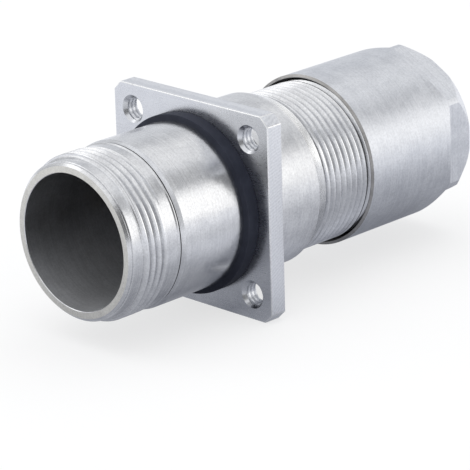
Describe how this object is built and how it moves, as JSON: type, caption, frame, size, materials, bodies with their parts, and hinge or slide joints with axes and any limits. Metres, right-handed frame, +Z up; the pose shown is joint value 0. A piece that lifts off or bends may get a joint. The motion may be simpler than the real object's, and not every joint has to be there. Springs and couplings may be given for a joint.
{
  "type": "panel-mounted circular connector",
  "caption": "Circular bulkhead connector with a threaded coupling tube, a square screw flange and gasket, and a rear clamp nut that squeezes a caged cable seal.",
  "frame": {"origin": "centre of the flange's front face, on the connector's axis", "axes": "+Y along the connector's axis from the mating end to the cable end, +Z up, flange edges along X and Z"},
  "size_m": [0.02, 0.0465, 0.02],
  "materials": {
    "nickel": "satin nickel plate over turned metal",
    "inner_nickel": "turned, nickel plated",
    "gasket_rubber": "matt moulded rubber",
    "seal_rubber": "matt moulded rubber",
    "insert_plastic": "moulded glass-filled plastic",
    "spacer_plastic": "moulded plastic",
    "cage_plastic": "moulded polyamide",
    "contact_gold": "gold plate over turned brass"
  },
  "bodies": {
    "housing": {"shell": "nickel", "flange_gasket": "gasket_rubber", "insert_seal": "seal_rubber", "insert_front": "insert_plastic", "insert_rear": "insert_plastic", "contact_1": "contact_gold", "contact_2": "contact_gold", "contact_3": "contact_gold", "contact_4": "contact_gold", "contact_5": "contact_gold", "contact_6": "contact_gold", "contact_7": "contact_gold", "spacer_upper": "spacer_plastic", "spacer_lower": "spacer_plastic", "shield_ring_front": "inner_nickel", "shield_ring_rear": "inner_nickel"},
    "clamp": {"clamp_cage": "cage_plastic", "cable_seal": "seal_rubber", "thrust_ring": "inner_nickel"},
    "nut": {"clamp_nut": "nickel"}
  },
  "joints": [
    {"name": "clamp_slide", "type": "slide", "parent": "housing", "child": "clamp", "axis": [0, 1, 0], "range_m": [-0.00525, 0.003]},
    {"name": "nut_turn", "type": "hinge", "parent": "clamp", "child": "nut", "pos_m": [0, 0.0236, 0], "axis": [0, 1, 0], "range_deg": [-2520, 1440]}
  ],
  "couplings": [
    {"joint": "clamp_slide", "follows": "nut_turn", "m_per_rad": 0.00011937}
  ]
}
